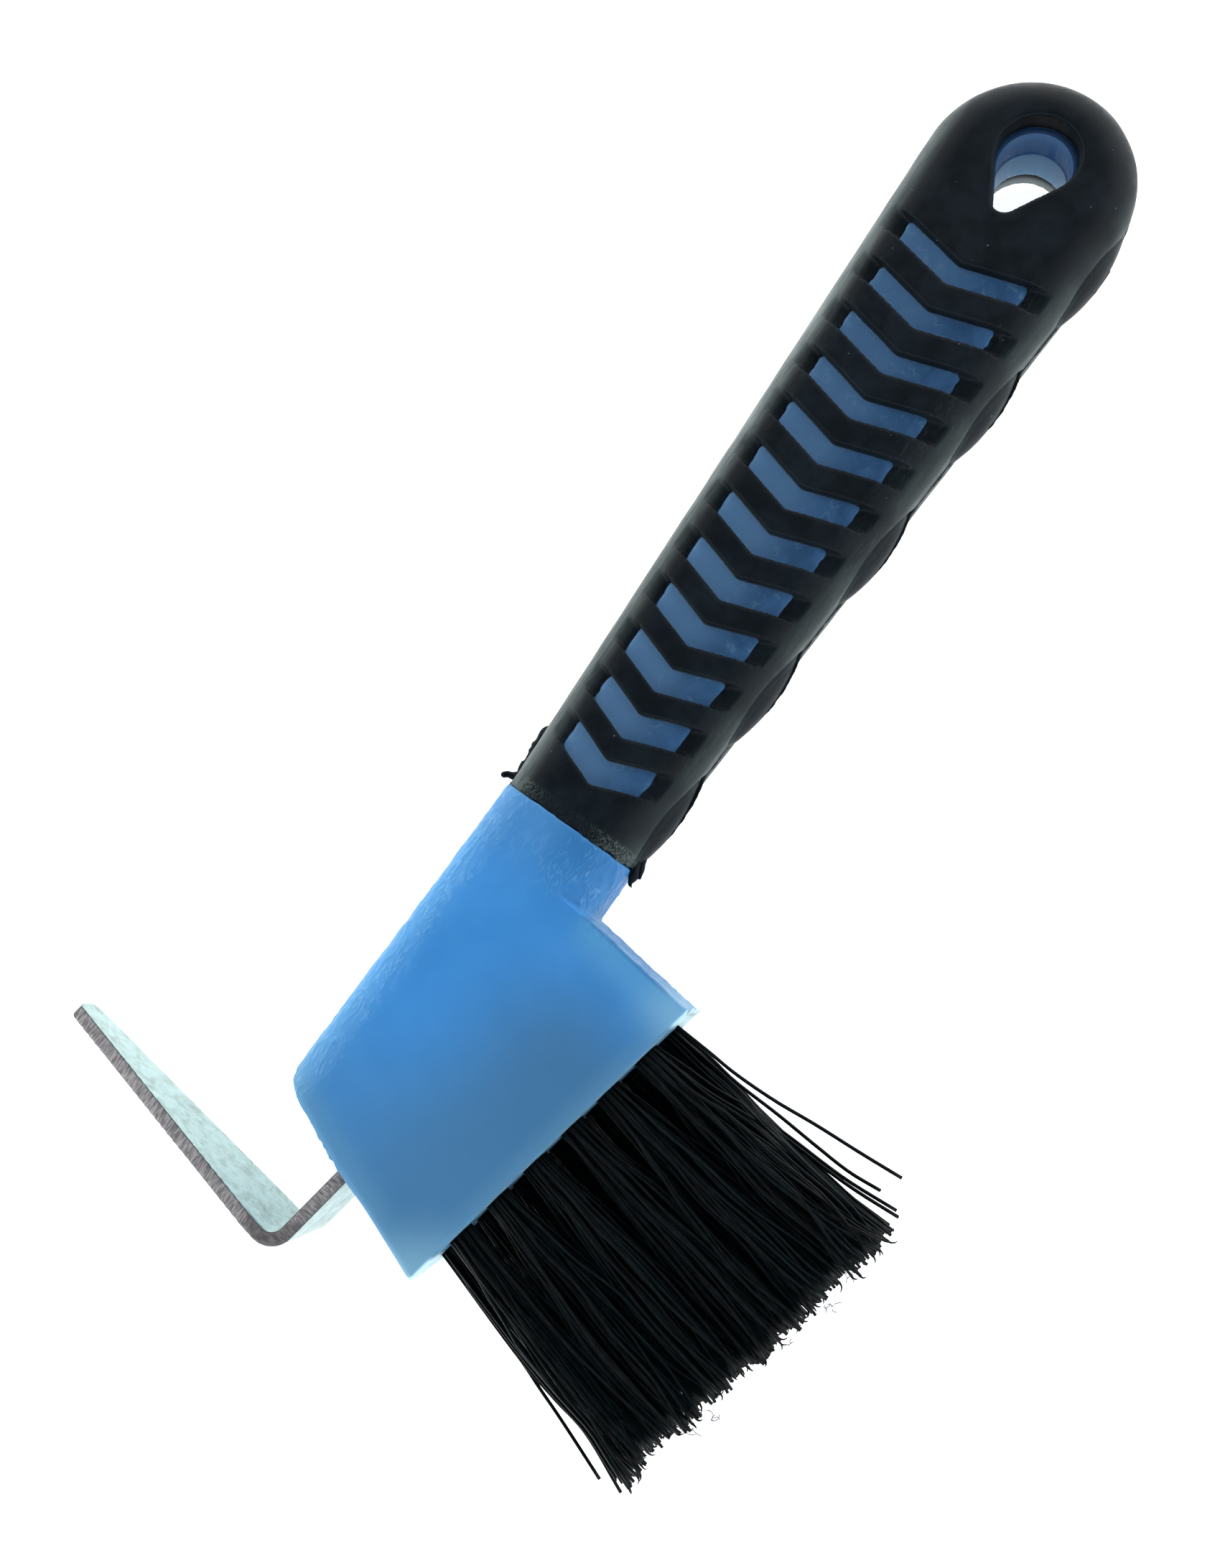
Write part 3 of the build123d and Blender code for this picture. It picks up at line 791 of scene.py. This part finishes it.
# shavings caught between the tips: (place, size), mm
LINT = [
    ((-89.4, -54.6, 12.5), 2.6),
    ((-92.9, -53.3, 11.0), 2.4),
    ((-93.6, -52.6, 8.5), 1.6),
    ((-66.4, -59.2, 12.0), 2.2),
    ((-67.4, -58.8, 9.5), 1.5),
    ((-61.8, -58.9, 10.5), 1.8),
    ((-75.2, -57.6, 9.0), 1.2),
    ((-57.0, -59.0, 12.0), 1.6),
]


def filament_path(root, tip, bow, crimp, phase):
    """Points from a root to a tip: one smooth arc sideways, one in height, and a slight crimp."""
    t = np.linspace(0, 1, LEVELS)[:, None]
    ahead = tip - root
    side = np.cross(ahead, UP_Z)
    side /= np.linalg.norm(side)
    path = root + ahead * t
    wave = np.sin(CRIMPS * 2 * pi * t + phase) * crimp * step(t, 0.05, 0.3)
    path = path + side * (np.sin(pi * t) * t * bow[0] + wave)
    path = path + UP_Z * np.sin(pi * t) * bow[1]
    path[:, 2] = np.maximum(path[:, 2], FLOOR_GAP)
    return path


def held_in(path, inset):
    """A filament's path, pressed inward where it would stick out of the bank's sides."""
    depth = -path[:, 1] / MM
    right = np.interp(depth, *np.array(RIGHT_SIDE).T) * MM - inset
    lean = LEFT_LEAN * np.maximum(path[:, 2] - MID_Z, 0)
    left = np.interp(depth, *np.array(LEFT_SIDE).T) * MM + lean + inset
    for side, outside in ((right, path[:, 0] > right), (left, path[:, 0] < left)):
        path[:, 0] = np.where(outside, side + BULGE_KEPT * (path[:, 0] - side), path[:, 0])
    return path


def smooth_path(points, count):
    """A Catmull-Rom curve through points."""
    padded = np.vstack([2 * points[0] - points[1], points, 2 * points[-1] - points[-2]])
    spots = np.linspace(0, len(points) - 1 - 1e-9, count)
    path = []
    for spot in spots:
        i = int(spot)
        t = spot - i
        p0, p1, p2, p3 = padded[i : i + 4]
        square = (2 * p0 - 5 * p1 + 4 * p2 - p3) * t**2
        cube = (3 * p1 - p0 - 3 * p2 + p3) * t**3
        path.append(0.5 * (2 * p1 + (p2 - p0) * t + square + cube))
    return np.array(path)


def curl(start, ahead, size, turns, draw, count=9):
    """A short thread that curls up on itself as it leaves start."""
    ahead = ahead / np.linalg.norm(ahead)
    side = np.cross(ahead, draw.normal(0, 1, 3))
    side /= np.linalg.norm(side)
    path = [start]
    heading = 0.0
    for _ in range(count - 1):
        heading += turns * 2 * pi / count * draw.uniform(0.5, 1.5)
        path.append(path[-1] + (ahead * cos(heading) + side * sin(heading)) * size / count)
    path = np.array(path)
    path[:, 2] = np.maximum(path[:, 2], FLOOR_GAP)
    return path


def tuft_ends(name):
    """The middle of a tuft where it enters its hole, and at its tips."""
    corners = points_of(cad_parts[name].data)
    depth = corners @ FACE_OUT
    low, high = depth.min(), depth.max()
    root = corners[depth < low + 0.5 * MM].mean(0)
    tip = corners[depth > high - 0.5 * MM].mean(0)
    return root + FACE_OUT * (FACE_LEVEL - ROOT_INSET - low), tip


def filament_in(root_middle, tip_middle, number, draw):
    """One filament of a tuft, spread over the bundle by a sunflower's pattern and cut unevenly."""
    angle = number * pi * (3 - sqrt(5))
    reach = sqrt((number + 0.5) / FILAMENTS)
    spot = FACE_ALONG * cos(angle) * reach + UP_Z * sin(angle) * reach
    tip = tip_middle + spot * ROOT_RADIUS * TIP_SPREAD
    tip = tip + FACE_ALONG * draw.normal(0, TIP_SCATTER) + UP_Z * draw.normal(0, TIP_SCATTER_UP)
    place = np.array([[tip[0], 0, tip[2]]])
    longer = 0.9 * value_noise(place, 3.5 * MM, 61)[0] + draw.normal(0, 0.35) - 0.5
    longer -= 0.9 * step(tip[0], -75 * MM, -95 * MM)
    tip = tip + FACE_OUT * longer * MM
    bow = draw.normal(0, 1.6) * MM, draw.normal(0, 0.6) * MM
    crimp, phase = draw.uniform(0.05, 0.3) * MM, draw.uniform(0, 2 * pi)
    path = filament_path(root_middle + spot * ROOT_RADIUS, tip, bow, crimp, phase)
    return held_in(path, draw.uniform(0.0, 0.9) * MM)


def make_tufts(material, lint_material):
    """Nineteen bundles of filaments that fan out from their holes, with burrs, strays and lint."""
    draw = np.random.default_rng(21)
    burrs = []
    for name in sorted(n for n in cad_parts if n.startswith("bristle_tuft")):
        root_middle, tip_middle = tuft_ends(name)
        paths, radii = [], []
        for number in range(FILAMENTS):
            path = filament_in(root_middle, tip_middle, number, draw)
            paths.append(path)
            radii.append(np.full(LEVELS, FILAMENT_RADIUS * draw.uniform(0.9, 1.06)))
            if draw.random() < BURR_SHARE:
                size = draw.uniform(0.7, 1.6) * MM
                burrs.append(curl(path[-1], path[-1] - path[-2], size, BURR_TURNS, draw))
        tuft = tube_mesh(name, paths, radii, 6)
        add_piece(name + "_filaments", tuft, material, [name])
    radii = [np.linspace(0.18, 0.06, len(burr)) * MM for burr in burrs]
    add_piece("tip_burrs", tube_mesh("tip_burrs", burrs, radii, 5), material)

    strays = []
    for height, points in STRAYS:
        strays.append(smooth_path(np.array([(x, y, height) for x, y in points]) * MM, 24))
    radii = [np.full(len(path), STRAY_RADIUS) for path in strays]
    add_piece("stray_filaments", tube_mesh("strays", strays, radii, 6), material)

    threads = []
    for place, size in LINT:
        for _ in range(THREADS):
            start = (np.array(place) + draw.normal(0, 0.25, 3)) * MM
            ahead = draw.normal(0, 1, 3)
            long = size * MM * draw.uniform(0.4, 0.9)
            threads.append(curl(start, ahead, long, THREAD_TURNS, draw, 8))
    radii = [np.full(len(path), THREAD_RADIUS) for path in threads]
    add_piece("tip_lint", tube_mesh("tip_lint", threads, radii, 5), lint_material)


# ---- moulding flash ----
def sleeve_half(x):
    """Half width of the sleeve's outline at x, on its upper side."""
    return CUFF_HALF + (END_RADIUS - CUFF_HALF) * (x - CUFF_X) / (END_X - CUFF_X)


def lower_half(x):
    """Half width of the sleeve's outline at x, on its lower side, with the finger rests."""
    bumps = [REST_RISE * (1 - ((x - centre) * 2 / REST_LENGTH) ** 2) for centre in REST_CENTRES]
    return sleeve_half(x) + max(0.0, *bumps)


def fin_mesh(name, strips):
    """Thin ragged fins. Each strip is (points along its root, outward directions, heights, half
    its thickness)."""
    stacks = []
    for roots, outward, heights, half_thickness in strips:
        ahead = np.gradient(roots, axis=0)
        ahead /= np.linalg.norm(ahead, axis=1)[:, None]
        side = np.cross(ahead, outward) * half_thickness
        heights = heights[:, None]
        base = roots - outward * FIN_ROOT
        shoulder = roots + outward * heights * FIN_SHOULDER
        tip = roots + outward * heights
        narrow = side * FIN_SHOULDER
        ring = [base + side, shoulder + narrow, tip, shoulder - narrow, base - side]
        stacks.append(np.stack(ring, axis=1))
    return shell_mesh(name, stacks)


def ragged(places, seed, size, low, high):
    """Uneven heights from low to high along a line."""
    spots = np.column_stack([places, np.zeros_like(places), np.zeros_like(places)])
    rough = 0.65 * value_noise(spots, size, seed) + 0.35 * value_noise(spots, size * 0.35, seed + 1)
    return low + (high - low) * np.clip(0.5 + 0.75 * rough, 0, 1)


def make_sleeve_flash(material):
    """Rubber that crept out where the mould's halves met, along both sides and the round end."""
    strips = []
    for start, stop, low, high, seed in (
        (CUFF_X + 0.2 * MM, CUFF_X + 13 * MM, 1.0, 1.7, 31),
        (CUFF_X + 11 * MM, CUFF_X + 19 * MM, 0.4, 0.9, 43),
        (CUFF_X + 37 * MM, CUFF_X + 47 * MM, 0.3, 1.0, 33),
        (CUFF_X + 17 * MM, END_X, 0.2, 0.5, 35),
    ):
        x = np.arange(start, stop, FIN_SPACING)
        fade = step(x, start, start + MM) * step(x, stop, stop - 3 * MM)
        roots = np.column_stack([x, AXIS_Y + sleeve_half(x), np.full_like(x, MID_Z)])
        heights = ragged(x, seed, 1.6 * MM, low, high) * MM * fade
        strips.append((roots, np.tile(UP_Y, (len(x), 1)), heights, SLEEVE_FIN))
    x = np.arange(CUFF_X + 0.3 * MM, END_X - 3 * MM, FIN_SPACING)
    y = AXIS_Y - np.array([lower_half(place) for place in x])
    heights = ragged(x, 37, 1.4 * MM, 0.1, 0.26) * MM * step(x, END_X - 3 * MM, END_X - 8 * MM)
    roots = np.column_stack([x, y, np.full_like(x, MID_Z)])
    strips.append((roots, np.tile(-UP_Y, (len(x), 1)), heights, SLEEVE_FIN))
    angle = np.linspace(-pi / 2, pi / 2, 140)
    out = np.column_stack([np.cos(angle), np.sin(angle), np.zeros_like(angle)])
    roots = np.array([END_X, AXIS_Y, MID_Z]) + out * END_RADIUS
    heights = ragged(angle * END_RADIUS, 39, 1.4 * MM, 0.02, 0.14) * MM
    strips.append((roots, out, heights, SLEEVE_FIN))
    add_piece("sleeve_flash", fin_mesh("sleeve_flash", strips), material)


def make_cuff_flash(material):
    """The curled horn at the cuff's upper corner, and the torn lump at its lower corner."""
    upper = np.array([CUFF_X, AXIS_Y + CUFF_HALF, MID_Z])
    lower = np.array([CUFF_X, AXIS_Y - CUFF_HALF, MID_Z])
    horn = [(2.4, -0.6, 0), (1.8, 0.6, 0), (1.3, 1.6, 0.2), (0.9, 2.5, 0.3), (0.2, 2.6, 0.4)]
    horn_radii = [1.2, 1.2, 1.1, 1.0, 0.9, 0.8, 0.7, 0.62, 0.56, 0.52, 0.54, 0.58, 0.6, 0.56, 0.46, 0.26]
    spike = [(1.6, -0.4, 0), (0.6, 0.5, 0), (-0.5, 0.9, 0)]
    lump = [(1.6, 0.3, 0), (0.4, -0.5, 0), (-0.7, -0.8, 0.1), (-1.7, -1.1, 0.2), (-2.2, -1.7, 0.2)]
    lump_radii = [0.9, 0.95, 0.9, 0.8, 0.75, 0.8, 0.86, 0.8, 0.7, 0.62, 0.5, 0.4, 0.32, 0.26, 0.2, 0.1]
    crumb = [(2.8, -0.2, 0), (1.2, -1.1, 0), (-0.4, -1.7, 0)]
    paths, radii = [], []
    for corner, points, thickness in (
        (upper, horn, horn_radii),
        (upper, spike, np.linspace(0.8, 0.2, 8)),
        (lower, lump, lump_radii),
        (lower, crumb, np.linspace(0.7, 0.25, 10)),
    ):
        paths.append(smooth_path(corner + np.array(points) * MM, len(thickness)))
        radii.append(np.array(thickness) * MM)
    mesh = tube_mesh("cuff_flash", paths, radii, 10)
    points, normals = points_of(mesh), points_of(mesh, "normal")
    move_points(mesh, points + normals * (value_noise(points, 0.7 * MM, 41) * 0.16 * MM)[:, None])
    add_piece("cuff_flash", mesh, material)


def make_head_flash(material):
    """Thin burrs of plastic at the bristle face's two ends and along its front and back edges."""
    strips = []
    z = np.arange(1.5, 18.6, 0.3) * MM
    for corner, out, seed, high in (
        (FACE_START, -FACE_ALONG * 0.8 + FACE_OUT * 0.6, 51, 0.5),
        (FACE_END, FACE_ALONG, 53, 1.3),
    ):
        ends = np.column_stack([np.full_like(z, corner[0]), np.full_like(z, corner[1]), z])
        heights = ragged(z, seed, 1.8 * MM, 0.1, high) * MM
        strips.append((ends - out * 0.35 * MM, np.tile(out, (len(z), 1)), heights, 0.13 * MM))
    along = np.arange(MM, FACE_LENGTH - MM, FIN_SPACING)
    for height, seed in ((20.0 * MM, 55), (0.25 * MM, 57)):
        flat = FACE_START + along[:, None] * FACE_ALONG[:2]
        edge = np.column_stack([flat, np.full(len(along), height)])
        heights = ragged(along, seed, 1.6 * MM, 0.03, 0.35) * MM
        outward = np.tile(FACE_OUT, (len(along), 1))
        strips.append((edge - FACE_OUT * 0.3 * MM, outward, heights, 0.12 * MM))
    add_piece("head_flash", fin_mesh("head_flash", strips), material)


# ---- stage ----
def add_stage():
    """A plain white floor that glows a little, and a soft bright surround."""
    reach = 3.0
    mesh = bpy.data.meshes.new("floor")
    corners = [(-reach, -reach, 0), (reach, -reach, 0), (reach, reach, 0), (-reach, reach, 0)]
    mesh.from_pydata(corners, [], [(0, 1, 2, 3)])
    floor = new_object("floor", mesh)
    n = Nodes("floor")
    pale = n.mix(n.noise(200 * MM), (0.9, 0.9, 0.9, 1), (0.92, 0.92, 0.92, 1))
    n.set(Base_Color=pale, Roughness=0.9, Emission_Color=(1, 1, 1, 1), Emission_Strength=0.9)
    mesh.materials.append(n.material)

    # bright all round near the horizon, dim and slightly blue overhead
    world = bpy.data.worlds.new("surround")
    bpy.context.scene.world = world
    world.use_nodes = True
    tree = world.node_tree
    place = tree.nodes.new("ShaderNodeTexCoord").outputs["Generated"]
    height = tree.nodes.new("ShaderNodeSeparateXYZ")
    tree.links.new(place, height.inputs[0])
    fade = tree.nodes.new("ShaderNodeMapRange")
    fade.interpolation_type = "SMOOTHSTEP"
    tree.links.new(height.outputs[2], fade.inputs[0])
    fade.inputs["From Min"].default_value = 0.4
    fade.inputs["From Max"].default_value = 0.9
    tint = tree.nodes.new("ShaderNodeMix")
    tint.data_type = "RGBA"
    tree.links.new(fade.outputs[0], tint.inputs[0])
    tint.inputs[6].default_value = (2.4, 2.4, 2.4, 1.0)
    tint.inputs[7].default_value = (0.075, 0.1, 0.12, 1.0)
    tree.links.new(tint.outputs[2], tree.nodes["Background"].inputs["Color"])

    for name, place, size, power in (
        ("key", (-0.7, 0.6, 0.55), 0.6, 0.35),
        ("fill", (0.8, -0.6, 0.5), 0.6, 0.25),
    ):
        light = new_object(name, bpy.data.lights.new(name, "AREA"))
        light.data.size = size
        light.data.energy = power
        light.location = place
        light.rotation_euler = (-Vector(place)).to_track_quat("-Z", "Y").to_euler()
    bpy.context.scene.view_settings.view_transform = "Standard"


add_camera()
add_stage()
plastic = hard_plastic()
rubber = soft_sleeve()
make_body(plastic)
make_head_flash(plastic)
make_sleeve(rubber)
make_sleeve_flash(rubber)
make_cuff_flash(rubber)
make_hook(hook_steel())
make_tufts(bristle(), lint())
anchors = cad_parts["tuft_anchors"]
anchors.data.materials.clear()
anchors.data.materials.append(anchor_wire())
